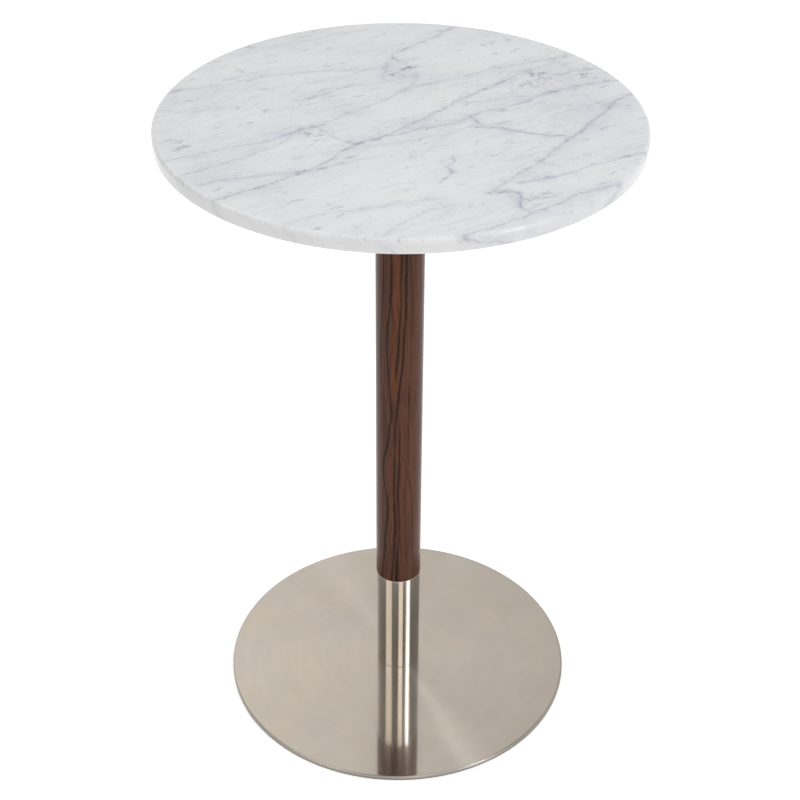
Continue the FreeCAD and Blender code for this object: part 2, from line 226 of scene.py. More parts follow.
def close_up(smooth_angle=SMOOTH_ANGLE):
    """Leaves edit mode with clean normals and smooth rounds."""
    bpy.ops.mesh.select_all(action="SELECT")
    bpy.ops.mesh.remove_doubles(threshold=SAME_SPOT)
    bpy.ops.mesh.normals_make_consistent(inside=False)
    bpy.ops.object.mode_set(mode="OBJECT")
    bpy.ops.object.shade_smooth_by_angle(angle=math.radians(smooth_angle))


def hand_over(piece, name, finish, node):
    """Names a finished piece, gives it its material and puts it in the place of its CAD node."""
    piece.name = piece.data.name = name
    piece.data.materials.clear()
    piece.data.materials.append(finish)
    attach(piece, BODY)
    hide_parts(node)


# ---------------------------------------------------------------- finishes


class Nodes:
    """The nodes of a material or of the studio's walls, with short ways to add and join them."""

    def __init__(self, tree):
        self.nodes, self.links = tree.nodes, tree.links

    def feed(self, socket, value):
        if isinstance(value, bpy.types.NodeSocket):
            self.links.new(value, socket)
        else:
            socket.default_value = value

    def add(self, kind, inputs, output=0, **choices):
        node = self.nodes.new("ShaderNode" + kind)
        for choice, value in choices.items():
            setattr(node, choice, value)
        for key, value in inputs.items():
            self.feed(node.inputs[key], value)
        return node.outputs[output]

    def math(self, operation, *values):
        return self.add("Math", dict(enumerate(values)), operation=operation)

    def vector(self, operation, *values, output=0):
        return self.add("VectorMath", dict(enumerate(values)), output, operation=operation)

    def split(self, vector):
        node = self.nodes.new("ShaderNodeSeparateXYZ")
        self.links.new(vector, node.inputs[0])
        return node.outputs[0], node.outputs[1], node.outputs[2]

    def join(self, x, y, z):
        return self.add("CombineXYZ", {0: x, 1: y, 2: z})

    def turned(self, place, degrees, scale):
        """A place turned about the upright axis, then stretched."""
        turn = (0, 0, math.radians(degrees))
        turned = self.add("Mapping", {"Vector": place, "Rotation": turn}, vector_type="POINT")
        return self.vector("MULTIPLY", turned, scale)

    def noise(self, place, scale, detail=2.0, roughness=0.5, output=0):
        inputs = {"Vector": place, "Scale": scale, "Detail": detail, "Roughness": roughness}
        return self.add("TexNoise", inputs, output)

    def ease(self, value, low, high, start=0.0, end=1.0):
        """Start below low, end above high, and a smooth step between."""
        return self.add(
            "MapRange",
            {"Value": value, "From Min": low, "From Max": high, "To Min": start, "To Max": end},
            interpolation_type="SMOOTHSTEP",
        )

    def blend(self, share, below, above, how="MIX"):
        below = below if isinstance(below, bpy.types.NodeSocket) else (*below, 1)
        above = above if isinstance(above, bpy.types.NodeSocket) else (*above, 1)
        return self.add("Mix", {0: share, 6: below, 7: above}, 2, data_type="RGBA", blend_type=how)

    def total(self, values):
        values = list(values)
        amount = values[0]
        for value in values[1:]:
            amount = self.math("ADD", amount, value)
        return amount

    def path(self, value, points):
        """A curve drawn through points; both sides run from 0 to 1."""
        node = self.nodes.new("ShaderNodeFloatCurve")
        mapping = node.mapping
        mapping.extend = "HORIZONTAL"
        points = sorted(points)
        curve = mapping.curves[0]
        curve.points[0].location, curve.points[1].location = points[0], points[-1]
        for along, across in points[1:-1]:
            curve.points.new(along, across)
        for point in curve.points:
            point.handle_type = "AUTO_CLAMPED"
        mapping.update()
        self.links.new(value, node.inputs["Value"])
        return node.outputs[0]


class Finish(Nodes):
    """One procedural material."""

    def __init__(self, name, metallic=0.0):
        self.material = bpy.data.materials.new(name)
        self.material.use_nodes = True
        super().__init__(self.material.node_tree)
        self.surface = self.nodes["Principled BSDF"]
        self.surface.inputs["Metallic"].default_value = metallic
        self.place = self.add("TexCoord", {}, "Object")

    def set(self, **values):
        for key, value in values.items():
            self.feed(self.surface.inputs[key.replace("_", " ").title()], value)

    def bump(self, height, distance, strength=1.0):
        normal = self.add("Bump", {"Height": height, "Distance": distance, "Strength": strength})
        self.links.new(normal, self.surface.inputs["Normal"])


# Veins of the top, in millimetres from its middle, x to the right and y to the back.
# Each has the axis that it is followed along, its half width, its strength and its points.
VEINS = (
    ("x", 1.3, 0.85, ((-205, -215), (-182, -200), (-150, -178), (-121, -155), (-95, -130),
                      (-80, -115), (-70, -95), (-55, -75), (-40, -64), (-20, -52), (0, -32),
                      (20, -12), (45, 20), (68, 45), (82, 60), (100, 80), (125, 102),
                      (136, 115))),
    ("x", 0.9, 0.55, ((-14, -50), (0, -45), (25, -30), (60, -18), (85, 2))),
    ("x", 1.0, 0.75, ((85, 4), (96, 14), (130, 33), (160, 53), (193, 77), (225, 94), (260, 111),
                      (270, 115))),
    ("y", 1.2, 0.75, ((70, 282), (58, 268), (45, 250), (25, 228), (0, 202), (-14, 188),
                      (-5, 169))),
    ("y", 0.8, 0.50, ((20, 128), (16, 100), (2, 75))),
    ("y", 0.7, 0.45, ((-18, 165), (-22, 130), (-24, 112))),
    ("x", 0.9, 0.55, ((2, 75), (-20, 50), (-50, 20), (-80, -5), (-102, -28))),
    ("x", 1.0, 0.60, ((2, 75), (20, 90), (50, 108), (90, 130), (120, 148), (150, 160),
                      (192, 178), (220, 192))),
    ("y", 1.5, 0.90, ((285, 68), (265, 48), (250, 22), (230, -10), (210, -42), (195, -58))),
    ("y", 1.2, 0.64, ((195, -58), (180, -82), (158, -118), (140, -140), (120, -168),
                      (100, -192))),
    ("x", 0.8, 0.50, ((158, -112), (172, -118), (183, -127))),
    ("y", 1.0, 0.70, ((85, 5), (100, -20))),
    ("x", 1.2, 0.85, ((88, -26), (120, -30), (150, -41), (200, -48))),
    ("x", 0.8, 0.50, ((68, 45), (97, 44), (115, 54), (160, 65), (192, 80))),
    ("x", 1.0, 0.72, ((288, -88), (245, -110), (203, -134), (178, -152), (135, -167))),
    ("x", 1.0, 0.66, ((250, -165), (220, -180), (200, -192), (170, -220), (145, -240),
                      (110, -265), (65, -290))),
    ("y", 1.2, 0.85, ((125, -190), (133, -200), (131, -220), (142, -238))),
    ("x", 1.0, 0.70, ((100, -192), (127, -193))),
    ("x", 0.9, 0.60, ((152, -207), (170, -200))),
    ("x", 0.9, 0.50, ((-285, 75), (-255, 80), (-220, 95), (-185, 110), (-150, 125), (-120, 132),
                      (-90, 138), (-40, 140))),
    ("x", 0.9, 0.32, ((-210, 198), (-175, 212), (-150, 225), (-122, 235), (-90, 255),
                      (-50, 270))),
    ("x", 0.9, 0.75, ((-126, 46), (-94, 67), (-78, 80), (-61, 94))),
    ("x", 0.7, 0.32, ((-60, 88), (-20, 105), (20, 125))),
    ("x", 0.8, 0.60, ((-270, -119), (-240, -104), (-200, -85), (-150, -60), (-110, -28))),
    ("x", 0.9, 0.60, ((-250, -156), (-230, -142), (-200, -120), (-160, -90), (-140, -72),
                      (-125, -45))),
    ("x", 0.9, 0.60, ((-230, -180), (-200, -166), (-160, -158), (-121, -148))),
    ("x", 0.7, 0.30, ((-90, -142), (-65, -122), (-40, -110), (10, -95), (50, -75))),
    ("x", 0.7, 0.28, ((-125, -115), (-75, -90), (-20, -72), (50, -48), (85, -25))),
    ("x", 0.8, 0.42, ((-120, -270), (-100, -252), (-65, -240), (-20, -225), (45, -205))),
    ("x", 0.8, 0.40, ((-20, -295), (0, -265), (25, -242), (58, -218))),
    ("y", 1.0, 0.70, ((58, -105), (61, -115), (52, -129), (58, -140), (45, -170))),
    ("x", 0.7, 0.40, ((-290, 15), (-262, 12), (-230, 22), (-202, 30))),
    ("x", 0.8, 0.45, ((-165, -45), (-125, -45), (-105, -28), (-85, -50), (-55, -71))),
    ("x", 0.8, 0.40, ((200, 169), (170, 144), (142, 124))),
    ("x", 0.8, 0.36, ((265, 155), (230, 142), (192, 125))),
)
# Places where the stone is broken into fine speckle, and softly blue ones: middle x, y and reach.
SPECKLED = ((-3, 140, 34), (168, 112, 46), (-105, -45, 32), (148, -202, 28), (225, 135, 30))
BLUISH = ((-3, 135, 60), (180, 130, 75), (-70, 25, 45), (225, 25, 90), (-200, -150, 85))


def polished_marble(settings):
    """White stone with blue grey veins, soft clouds, fine streaks and specks."""
    f = Finish("polished_marble")
    x, y, z = f.split(f.place)
    depth = f.math("SUBTRACT", z, settings.surface)
    # the pattern goes on down the edge at a slant
    across = f.math("MULTIPLY_ADD", depth, 0.5, x)
    back = f.math("MULTIPLY_ADD", depth, -0.7, y)
    flat = f.join(across, back, 0.0)
    noise_middle = (0.5, 0.5, 0.5)
    sway = f.vector("SUBTRACT", f.noise(flat, 16, 3, 0.55, 1), noise_middle)
    jag = f.vector("SUBTRACT", f.noise(flat, 95, 3, 0.6, 1), noise_middle)
    bent = f.vector("MULTIPLY_ADD", sway, (0.014, 0.014, 0), flat)
    bent = f.vector("MULTIPLY_ADD", jag, (0.008, 0.008, 0), bent)
    span = 2 * settings.radius
    bx, by, _ = f.split(bent)
    along = {
        "x": f.math("MULTIPLY_ADD", bx, 1 / span, 0.5),
        "y": f.math("MULTIPLY_ADD", by, 1 / span, 0.5),
    }
    breaks = f.ease(f.noise(flat, 75, 4, 0.65), 0.36, 0.66, 0.40, 1.0)
    breaks = f.math("MULTIPLY", breaks, f.ease(f.noise(flat, 210, 3, 0.6), 0.32, 0.62, 0.60, 1.0))
    thin = f.ease(f.noise(flat, 45, 3, 0.6), 0.3, 0.7, 1.05, 0.32)
    fade = 0.02  # share of the stone's width over which a vein begins and ends
    halo = 0.16  # a vein's soft halo falls off this much more slowly than its line
    vein, glow = 0.0, 0.0
    for axis, half, power, points in VEINS:
        other = "y" if axis == "x" else "x"
        spots = [(p[0] * MM / span + 0.5, p[1] * MM / span + 0.5) for p in points]
        if axis == "y":
            spots = [(v, u) for u, v in spots]
        first, last = min(spots)[0], max(spots)[0]
        off = f.math("SUBTRACT", along[other], f.path(along[axis], spots))
        off = f.math("MULTIPLY", f.math("MULTIPLY", off, span / (half * MM)), thin)
        wide = f.math("MULTIPLY", off, halo)
        reach = f.math(
            "MULTIPLY",
            f.ease(along[axis], first - fade, first + fade / 2, 0.0, power),
            f.ease(along[axis], last - fade / 2, last + fade, 1.0, 0.0),
        )
        vein = f.math("ADD", vein, f.math("DIVIDE", reach, f.math("MULTIPLY_ADD", off, off, 1.0)))
        glow = f.math("ADD", glow, f.math("DIVIDE", reach, f.math("MULTIPLY_ADD", wide, wide, 1.0)))
    vein = f.math("MULTIPLY", f.math("MINIMUM", vein, 0.88), breaks)
    glow = f.math("MULTIPLY", glow, f.ease(f.noise(flat, 24, 4, 0.6), 0.3, 0.7, 0.35, 1.0))

    # fine parallel streaks and short dashes, from the front left to the back right
    drift = -29  # degrees, the way that they run
    upper = f.ease(depth, -5.0 * MM, -2.5 * MM, 0.15, 1.0)
    streaks = f.ease(f.noise(f.turned(bent, drift, (9, 110, 1)), 1, 5, 0.65), 0.46, 0.78)
    streaks = f.math("MULTIPLY", streaks, upper)
    wisps = f.noise(f.turned(bent, -34, (12, 52, 1)), 1, 6, 0.7)
    wisps = f.math("ABSOLUTE", f.math("SUBTRACT", wisps, 0.5))
    wisps = f.math("SUBTRACT", 1.0, f.ease(wisps, 0.0, 0.04))
    wisps = f.math("MULTIPLY", wisps, f.ease(f.noise(flat, 9, 2), 0.40, 0.62))
    dashes = f.ease(f.noise(f.turned(bent, drift, (32, 88, 1)), 1, 3, 0.6), 0.585, 0.72)
    dashes = f.math("MULTIPLY", dashes, f.ease(f.noise(flat, 13, 3), 0.34, 0.58, 0.25, 1.0))
    dashes = f.math("MULTIPLY", dashes, upper)
    specks = f.ease(f.noise(f.turned(flat, drift, (90, 170, 1)), 1, 2, 0.5), 0.66, 0.75)
    crystal = f.noise(flat, 420, 2, 0.6)

    # broken network in a few places
    curls = f.math("ABSOLUTE", f.math("SUBTRACT", f.noise(bent, 62, 3, 0.6), 0.5))
    network = f.math("SUBTRACT", 1.0, f.ease(curls, 0.0, 0.035))
    blots = f.ease(f.noise(f.turned(bent, drift, (70, 150, 1)), 1, 4, 0.65), 0.50, 0.64)
    network = f.math("MAXIMUM", f.math("MULTIPLY", network, 0.7), blots)
    near = 0.0
    for sx, sy, reach in SPECKLED:
        away = f.vector("DISTANCE", bent, (sx * MM, sy * MM, 0), output=1)
        near = f.math("ADD", near, f.ease(away, reach * 0.35 * MM, reach * MM, 1.0, 0.0))
    patch = f.math("MULTIPLY", near, f.ease(f.noise(flat, 55, 3, 0.6), 0.38, 0.58))
    network = f.math("MULTIPLY", network, patch)
    blue = 0.0
    for sx, sy, reach in BLUISH:
        away = f.vector("DISTANCE", flat, (sx * MM, sy * MM, 0), output=1)
        blue = f.math("ADD", blue, f.ease(away, 0.0, reach * MM, 1.0, 0.0))

    clouds = f.ease(f.noise(f.turned(flat, drift, (6, 14, 1)), 1, 5, 0.6), 0.35, 0.75, 0.0, 0.45)
    haze = f.total([
        clouds,
        f.math("MULTIPLY", glow, 0.52),
        f.math("MULTIPLY", blue, 0.40),
        f.math("MULTIPLY", streaks, 0.29),
        f.math("MULTIPLY_ADD", crystal, 0.30, -0.15),
    ])
    dark = f.total([
        f.math("MULTIPLY", vein, 0.76),
        f.math("MULTIPLY", dashes, 0.42),
        f.math("MULTIPLY", f.math("MULTIPLY", specks, upper), 0.26),
        f.math("MULTIPLY", network, 0.66),
        f.math("MULTIPLY", wisps, 0.13),
        f.math("MULTIPLY", streaks, 0.08),
    ])
    haze = f.math("MINIMUM", f.math("MAXIMUM", haze, 0.0), 1.0)
    stone = f.blend(haze, settings.stone, settings.cloud)
    stone = f.blend(f.math("MINIMUM", dark, 0.92), stone, settings.vein)
    # painted shade: the stone darkens from 1 mm to 8 mm below its top face and stays darker further
    # down, standing in for the lesser light that reaches its edge from below
    painted_edge_shade = f.ease(depth, -8 * MM, -1 * MM, 0.93, 1.0)
    stone = f.blend(1.0, stone, f.join(painted_edge_shade, painted_edge_shade, painted_edge_shade), "MULTIPLY")
    f.set(base_color=stone, roughness=f.math("MULTIPLY_ADD", f.noise(flat, 30, 3), 0.06, 0.05))
    f.surface.inputs["IOR"].default_value = 1.56
    f.set(subsurface_weight=0.3, subsurface_radius=(1.0, 0.95, 0.85), subsurface_scale=0.004)
    f.bump(f.noise(flat, 14, 2), 0.00004)
    return f.material


# Stripes of the veneer: half width in millimetres, strength, and points. A point is the angle from
# the front to the right, in degrees, and the height above the floor, in millimetres.
STRIPES = (
    (1.55, 0.86, ((-20, 864), (-19, 780), (-21, 715), (-20, 692), (-23, 642), (-30, 608),
                  (-32, 575), (-27, 533), (-22, 492), (-20, 467), (-24, 450), (-27, 422),
                  (-38, 397), (-42, 380), (-35, 342), (-29, 322), (-28, 305), (-32, 280),
                  (-36, 255), (-38, 230), (-42, 205), (-47, 176))),
    (1.25, 0.85, ((4, 864), (3, 760), (3, 692), (2.5, 642), (-1, 608), (-3, 575), (-5, 558),
                  (-9, 533))),
    (1.20, 0.92, ((13, 864), (14, 780), (15, 700), (15, 642), (12, 608), (10, 583), (8, 558),
                  (2, 525), (-2, 500), (-7, 467), (-9, 447), (-10, 405), (-12, 372), (-12, 340),
                  (-11, 305), (-9, 280), (-11, 255), (-13, 222), (-18, 176))),
    (1.20, 0.85, ((3, 460), (2, 447), (2, 405), (-1, 363), (-2, 340), (1, 313), (2.5, 288),
                  (2, 255), (-1, 230), (-3, 205), (-6, 176))),
    (1.4, 0.50, ((26, 520), (23, 405), (23, 372), (30, 347), (35, 322), (37, 280), (38, 220))),
    (2.2, 0.55, ((-41, 864), (-42, 700), (-47, 600), (-52, 540))),
    (0.7, 0.60, ((-31, 864), (-31, 700), (-36, 620), (-40, 560), (-39, 500))),
)
# Orange streaks between the stripes, drawn in the same way.
FLAMES = (
    (4.6, 0.95, ((-9, 864), (-9, 760), (-9, 715), (-9, 640), (-12, 590), (-13, 540),
                 (-14, 490))),
    (0.6, 0.50, ((-16, 780), (-18, 715), (-17, 692), (-20, 642), (-27, 608), (-29, 575),
                 (-24, 533), (-19, 492))),
    (0.9, 0.55, ((9, 864), (9, 700), (9, 640), (6, 600), (3, 570), (-2, 530))),
    (2.2, 0.70, ((-17, 345), (-18, 315), (-18, 265), (-21, 240))),
    (1.0, 0.60, ((-4, 440), (-4, 400), (-6, 350), (-5, 305), (-3, 272), (-5, 250))),
    (3.0, 0.35, ((33, 864), (35, 640), (40, 500))),
    (3.6, 0.35, ((-28, 400), (-27, 375), (-22, 350))),
)


def striped_veneer(settings):
    """Dark wood with wandering stripes, orange streaks, grain and pores under satin lacquer."""
    f = Finish("striped_veneer")
    x, y, z = f.split(f.place)
    tall = settings.head - settings.foot
    height = f.math("DIVIDE", f.math("SUBTRACT", z, settings.foot), tall)
    turn = f.math("MULTIPLY", f.math("ARCTAN2", x, f.math("MULTIPLY", y, -1.0)), 0.5 / math.pi)
    # three matched leaves, each the mirror of its neighbour; those at the back are slipped up
    leaf = 1 / 3
    around = f.math("ADD", f.math("PINGPONG", f.math("ADD", turn, leaf / 2), leaf), leaf)
    slip = f.ease(f.math("ABSOLUTE", turn), leaf / 2, leaf, 0.0, 0.22)
    height = f.math("SUBTRACT", height, slip)
    sway = f.noise(f.vector("MULTIPLY", f.place, (26, 26, 16)), 1, 3, 0.55)
    around = f.math("MULTIPLY_ADD", f.math("SUBTRACT", sway, 0.5), 0.014, around)
    girth = 2 * math.pi * settings.radius
    swell = f.ease(f.noise(f.vector("MULTIPLY", f.place, (60, 60, 9)), 1, 2), 0.3, 0.7, 1.35, 0.75)

    def drawn(lines, sharp):
        """How much of the listed lines lies at each place, with sharp or soft sides."""
        amount = 0.0
        for half, power, points in lines:
            spots = [
                ((level * MM - settings.foot) / tall, angle / 360 + 0.5) for angle, level in points
            ]
            first, last = min(spots)[0], max(spots)[0]
            off = f.math("SUBTRACT", around, f.path(height, spots))
            off = f.math("MULTIPLY", f.math("MULTIPLY", off, girth / (half * MM)), swell)
            if sharp:
                off = f.math("MULTIPLY", off, off)
                line = f.math("DIVIDE", power, f.math("MULTIPLY_ADD", off, off, 1.0))
            else:
                line = f.ease(f.math("ABSOLUTE", off), 0.3, 1.25, power, 0.0)
            # a stripe that stops short of the column's end fades out
            if first > 0.02:
                line = f.math("MULTIPLY", line, f.ease(height, first - 0.02, first + 0.03))
            if last < 0.98:
                line = f.math("MULTIPLY", line, f.ease(height, last - 0.05, last + 0.02, 1.0, 0.0))
            amount = f.math("ADD", amount, line)
        return amount

    broken = f.noise(f.vector("MULTIPLY", f.place, (240, 240, 20)), 1, 3, 0.6)
    broken = f.ease(broken, 0.25, 0.6, 0.6, 1.0)
    stripes = f.math("MULTIPLY", drawn(STRIPES, True), broken)
    flames = drawn(FLAMES, False)
    swirl = f.noise(f.vector("MULTIPLY", f.place, (20, 20, 7)), 1, 2, 0.5, 1)
    swirl = f.vector("MULTIPLY_ADD", swirl, (0.016, 0.016, 0), f.place)
    bands = f.noise(f.vector("MULTIPLY", swirl, (130, 130, 3.2)), 1, 3, 0.55)
    bands_dark = f.ease(bands, 0.50, 0.66)
    bands_warm = f.ease(bands, 0.50, 0.32)
    grain = f.noise(f.vector("MULTIPLY", swirl, (620, 620, 7)), 1, 3, 0.6)
    pores = f.ease(f.noise(f.vector("MULTIPLY", f.place, (1500, 1500, 55)), 1, 2, 0.5), 0.60, 0.72)
    wood = f.blend(f.math("MULTIPLY", bands_warm, 0.30), settings.heartwood, settings.flame)
    wood = f.blend(flames, wood, settings.flame)
    dark = f.total([
        stripes,
        f.math("MULTIPLY", bands_dark, 0.34),
        f.math("MULTIPLY", f.ease(grain, 0.45, 0.66), 0.40),
        f.math("MULTIPLY", pores, 0.22),
    ])
    wood = f.blend(f.math("MINIMUM", dark, 0.95), wood, settings.stripe)
    f.set(base_color=wood, roughness=f.math("MULTIPLY_ADD", grain, 0.10, 0.17))
    f.surface.inputs["Specular IOR Level"].default_value = 0.12
    f.bump(f.math("SUBTRACT", f.math("MULTIPLY", grain, 0.4), pores), 0.00002, 0.6)
    return f.material


# Sheens of the brushed steel, each with its share and roughness: the mirror between the brush
# lines, then finer and coarser lines.
COLLAR_SHEENS = ((1.0, 0.075), (0.15, 0.2))
BASE_SHEENS = ((1.0, 0.055), (0.46, 0.18), (0.08, 0.44))


def brushed_steel(name, shade, flat_face, sheens):
    """Steel brushed round the column's axis: rings on a flat face, hoops on an upright one."""
    f = Finish(name, metallic=1.0)
    x, y, z = f.split(f.place)
    middle = f.join(x, y, 0.0)
    out = f.vector("LENGTH", middle, output=1)
    ring = f.math("MAXIMUM", out, 0.001)
    level = f.math("SUBTRACT", out, z) if flat_face else z
    rx, ry, _ = f.split(f.vector("DIVIDE", middle, f.join(ring, ring, ring)))

    def brushing(fine, long, detail):
        lines = f.join(
            f.math("MULTIPLY", level, fine),
            f.math("MULTIPLY", rx, long),
            f.math("MULTIPLY", ry, long),
        )
        return f.noise(lines, 1, detail, 0.6)

    broad = brushing(90, 2.5, 3)
    strokes = brushing(900, 14, 2)
    mottle = f.noise(f.place, 16, 4, 0.6)
    shine = f.total([
        f.math("MULTIPLY_ADD", broad, 0.07, 0.845),
        f.math("MULTIPLY", strokes, 0.04),
        f.math("MULTIPLY", mottle, 0.17),
    ])
    if flat_face:
        # painted shade: the turned-down rim below the bend is darkened, standing in for the shadowed
        # floor that it mirrors, and its lowest millimetre most, as a painted shadow of the gap under
        # the cover
        bend = f.ease(z, COVER_HEAD - 2.4 * MM, COVER_HEAD - 1.2 * MM, 0.58, 1.0)
        painted_gap_shadow = f.ease(z, COVER_FOOT + 0.6 * MM, COVER_FOOT + 1.6 * MM, 0.6, 1.0)
        shine = f.math("MULTIPLY", f.math("MULTIPLY", shine, bend), painted_gap_shadow)
    tint = f.ease(f.noise(f.place, 11, 3, 0.6), 0.35, 0.65, 0.965, 1.0)
    steel = f.blend(1.0, shade, f.join(shine, shine, f.math("MULTIPLY", shine, tint)), "MULTIPLY")
    worn = f.math("MULTIPLY_ADD", strokes, 0.03, -0.015)
    if flat_face:
        # the rim keeps a coarser brushing
        coarse = f.ease(out, COVER_RADIUS - 2.2 * MM, COVER_RADIUS - 0.8 * MM, 0.0, 0.30)
        worn = f.math("ADD", worn, coarse)
    tangent = f.add("Tangent", {}, direction_type="RADIAL", axis="Z")
    surface = None
    for share, roughness in sheens:
        if surface is not None:
            f.surface = f.nodes.new("ShaderNodeBsdfPrincipled")
            f.set(metallic=1.0)
        f.set(
            base_color=steel,
            roughness=f.math("ADD", worn, roughness),
            anisotropic=1.0,
            anisotropic_rotation=0.25,
            tangent=tangent,
        )
        sheen = f.surface.outputs[0]
        if surface is None:
            surface = sheen
        else:
            surface = f.add("MixShader", {0: share, 1: surface, 2: sheen})
    f.links.new(surface, f.nodes["Material Output"].inputs["Surface"])
    return f.material


def coated_steel():
    """Black powder coat with its fine orange peel and dusty flecks."""
    f = Finish("black_powder_coat")
    peel = f.noise(f.place, 900, 2, 0.5)
    dust = f.ease(f.noise(f.place, 45, 5, 0.65), 0.45, 0.8)
    fleck = f.ease(f.noise(f.place, 2600, 1, 0.5), 0.66, 0.74)
    black = f.blend(f.math("MULTIPLY", dust, 0.5), tone(24, 24, 25), tone(44, 43, 42))
    f.set(
        base_color=f.blend(f.math("MULTIPLY", fleck, 0.35), black, tone(70, 70, 72)),
        roughness=f.math("MULTIPLY_ADD", peel, 0.25, 0.36),
    )
    f.bump(peel, 0.00006, 0.7)
    return f.material


def zinc_plate():
    """Bright zinc on screws and washers, slightly clouded."""
    f = Finish("zinc_plate", metallic=1.0)
    cloud = f.noise(f.place, 260, 4, 0.6)
    scuff = f.noise(f.vector("MULTIPLY", f.place, (900, 900, 3000)), 1, 3, 0.6)
    f.set(
        base_color=f.blend(cloud, tone(196, 199, 203), tone(164, 168, 176)),
        roughness=f.math("MULTIPLY_ADD", scuff, 0.22, 0.2),
    )
    f.bump(scuff, 0.00002, 0.5)
    return f.material


def mill_steel():
    """Plain drawn steel of the parts inside, with a dull mill skin."""
    f = Finish("mill_steel", metallic=0.85)
    skin = f.noise(f.vector("MULTIPLY", f.place, (300, 300, 14)), 1, 5, 0.65)
    stain = f.ease(f.noise(f.place, 60, 5, 0.65), 0.5, 0.75)
    grey = f.blend(skin, tone(92, 91, 92), tone(132, 130, 128))
    f.set(
        base_color=f.blend(f.math("MULTIPLY", stain, 0.5), grey, tone(96, 82, 70)),
        roughness=f.math("MULTIPLY_ADD", skin, 0.25, 0.36),
    )
    f.bump(skin, 0.00003, 0.6)
    return f.material


def turned_brass():
    """Brass inserts with lathe marks and a little tarnish."""
    f = Finish("turned_brass", metallic=1.0)
    _, _, z = f.split(f.place)
    marks = f.noise(f.join(0.0, 0.0, f.math("MULTIPLY", z, 4200)), 1, 2, 0.5)
    tarnish = f.noise(f.place, 320, 4, 0.6)
    f.set(
        base_color=f.blend(tarnish, tone(206, 172, 104), tone(164, 124, 66)),
        roughness=f.math("MULTIPLY_ADD", marks, 0.25, 0.2),
    )
    f.bump(marks, 0.00003, 0.6)
    return f.material


def pale_nylon():
    """Off-white turned nylon of the centring rings."""
    f = Finish("pale_nylon")
    _, _, z = f.split(f.place)
    marks = f.noise(f.join(0.0, 0.0, f.math("MULTIPLY", z, 3000)), 1, 3, 0.6)
    milk = f.noise(f.place, 90, 4, 0.6)
    f.set(
        base_color=f.blend(milk, tone(226, 222, 210), tone(206, 201, 188)),
        roughness=f.math("MULTIPLY_ADD", marks, 0.2, 0.36),
    )
    f.bump(marks, 0.00004, 0.6)
    return f.material


def black_rubber():
    """Matt rubber of the gasket, seal and pads, with a fine cloth-like tooth."""
    f = Finish("black_rubber")
    tooth = f.noise(f.place, 1800, 2, 0.5)
    bloom = f.ease(f.noise(f.place, 70, 5, 0.65), 0.42, 0.8)
    f.set(
        base_color=f.blend(f.math("MULTIPLY", bloom, 0.6), tone(26, 26, 27), tone(52, 51, 49)),
        roughness=f.math("MULTIPLY_ADD", tooth, 0.2, 0.68),
    )
    f.bump(tooth, 0.00008, 0.8)
    return f.material


def plain_timber():
    """Turned pale timber under the veneer, with straight grain."""
    f = Finish("plain_timber")
    swirl = f.vector("MULTIPLY_ADD", f.noise(f.place, 9, 2, 0.5, 1), (0.008, 0.008, 0), f.place)
    grain = f.noise(f.vector("MULTIPLY", swirl, (300, 300, 5)), 1, 4, 0.6)
    flecks = f.ease(f.noise(f.vector("MULTIPLY", f.place, (1300, 1300, 60)), 1, 2), 0.6, 0.74)
    wood = f.blend(f.ease(grain, 0.3, 0.7), tone(206, 176, 134), tone(172, 136, 94))
    f.set(
        base_color=f.blend(f.math("MULTIPLY", flecks, 0.5), wood, tone(128, 96, 62)),
        roughness=f.math("MULTIPLY_ADD", grain, 0.2, 0.5),
    )
    f.bump(grain, 0.00008, 0.6)
    return f.material


# ---------------------------------------------------------------- one operator for each piece


class TABLE_OT_marble_top(bpy.types.Operator):
    """Model the round stone top with its rounded edges and insert holes"""

    bl_idname = "table.marble_top"
    bl_label = "Marble Top"
    bl_options = {"REGISTER", "UNDO"}

    def execute(self, context):
        s = context.scene.table_marble_top
        slab = begin(
            bpy.ops.mesh.primitive_cylinder_add,
            vertices=DISC_STEPS,
            radius=s.radius,
            depth=s.surface - s.underside,
            end_fill_type="NGON",
            location=(0, 0, (s.surface + s.underside) / 2),
        )
        choose("EDGE", at_level(s.surface))
        bpy.ops.mesh.bevel(offset=s.upper_round, segments=10, profile=0.5, affect="EDGES")
        choose("EDGE", at_level(s.underside))
        bpy.ops.mesh.bevel(offset=s.lower_round, segments=5, profile=0.5, affect="EDGES")
        for way, level in ((1, s.surface), (-1, s.underside)):
            choose("FACE", lambda face: facing(way, level)(face) and len(face.verts) > 4)
            bpy.ops.mesh.inset(thickness=EDGE_BAND)
        close_up()

        # blind holes for the threaded inserts
        drill = begin(
            bpy.ops.mesh.primitive_cylinder_add,
            vertices=32,
            radius=s.insert_hole,
            depth=2 * s.insert_depth,
            location=(s.insert_circle, 0, s.underside),
        )
        bpy.ops.mesh.select_all(action="SELECT")
        step = math.radians(360 / INSERTS)
        bpy.ops.transform.rotate(value=step / 2, orient_axis="Z", center_override=(0, 0, 0))
        for _ in range(INSERTS - 1):
            bpy.ops.mesh.duplicate()
            bpy.ops.transform.rotate(value=step, orient_axis="Z", center_override=(0, 0, 0))
        bpy.ops.object.mode_set(mode="OBJECT")
        bpy.ops.object.select_all(action="DESELECT")
        slab.select_set(True)
        context.view_layer.objects.active = slab
        cut = slab.modifiers.new("insert holes", "BOOLEAN")
        cut.operation, cut.object, cut.solver = "DIFFERENCE", drill, "EXACT"
        bpy.ops.object.modifier_apply(modifier=cut.name)
        bpy.data.objects.remove(drill)
        hand_over(slab, "stone_top", polished_marble(s), "marble_top")
        return {"FINISHED"}


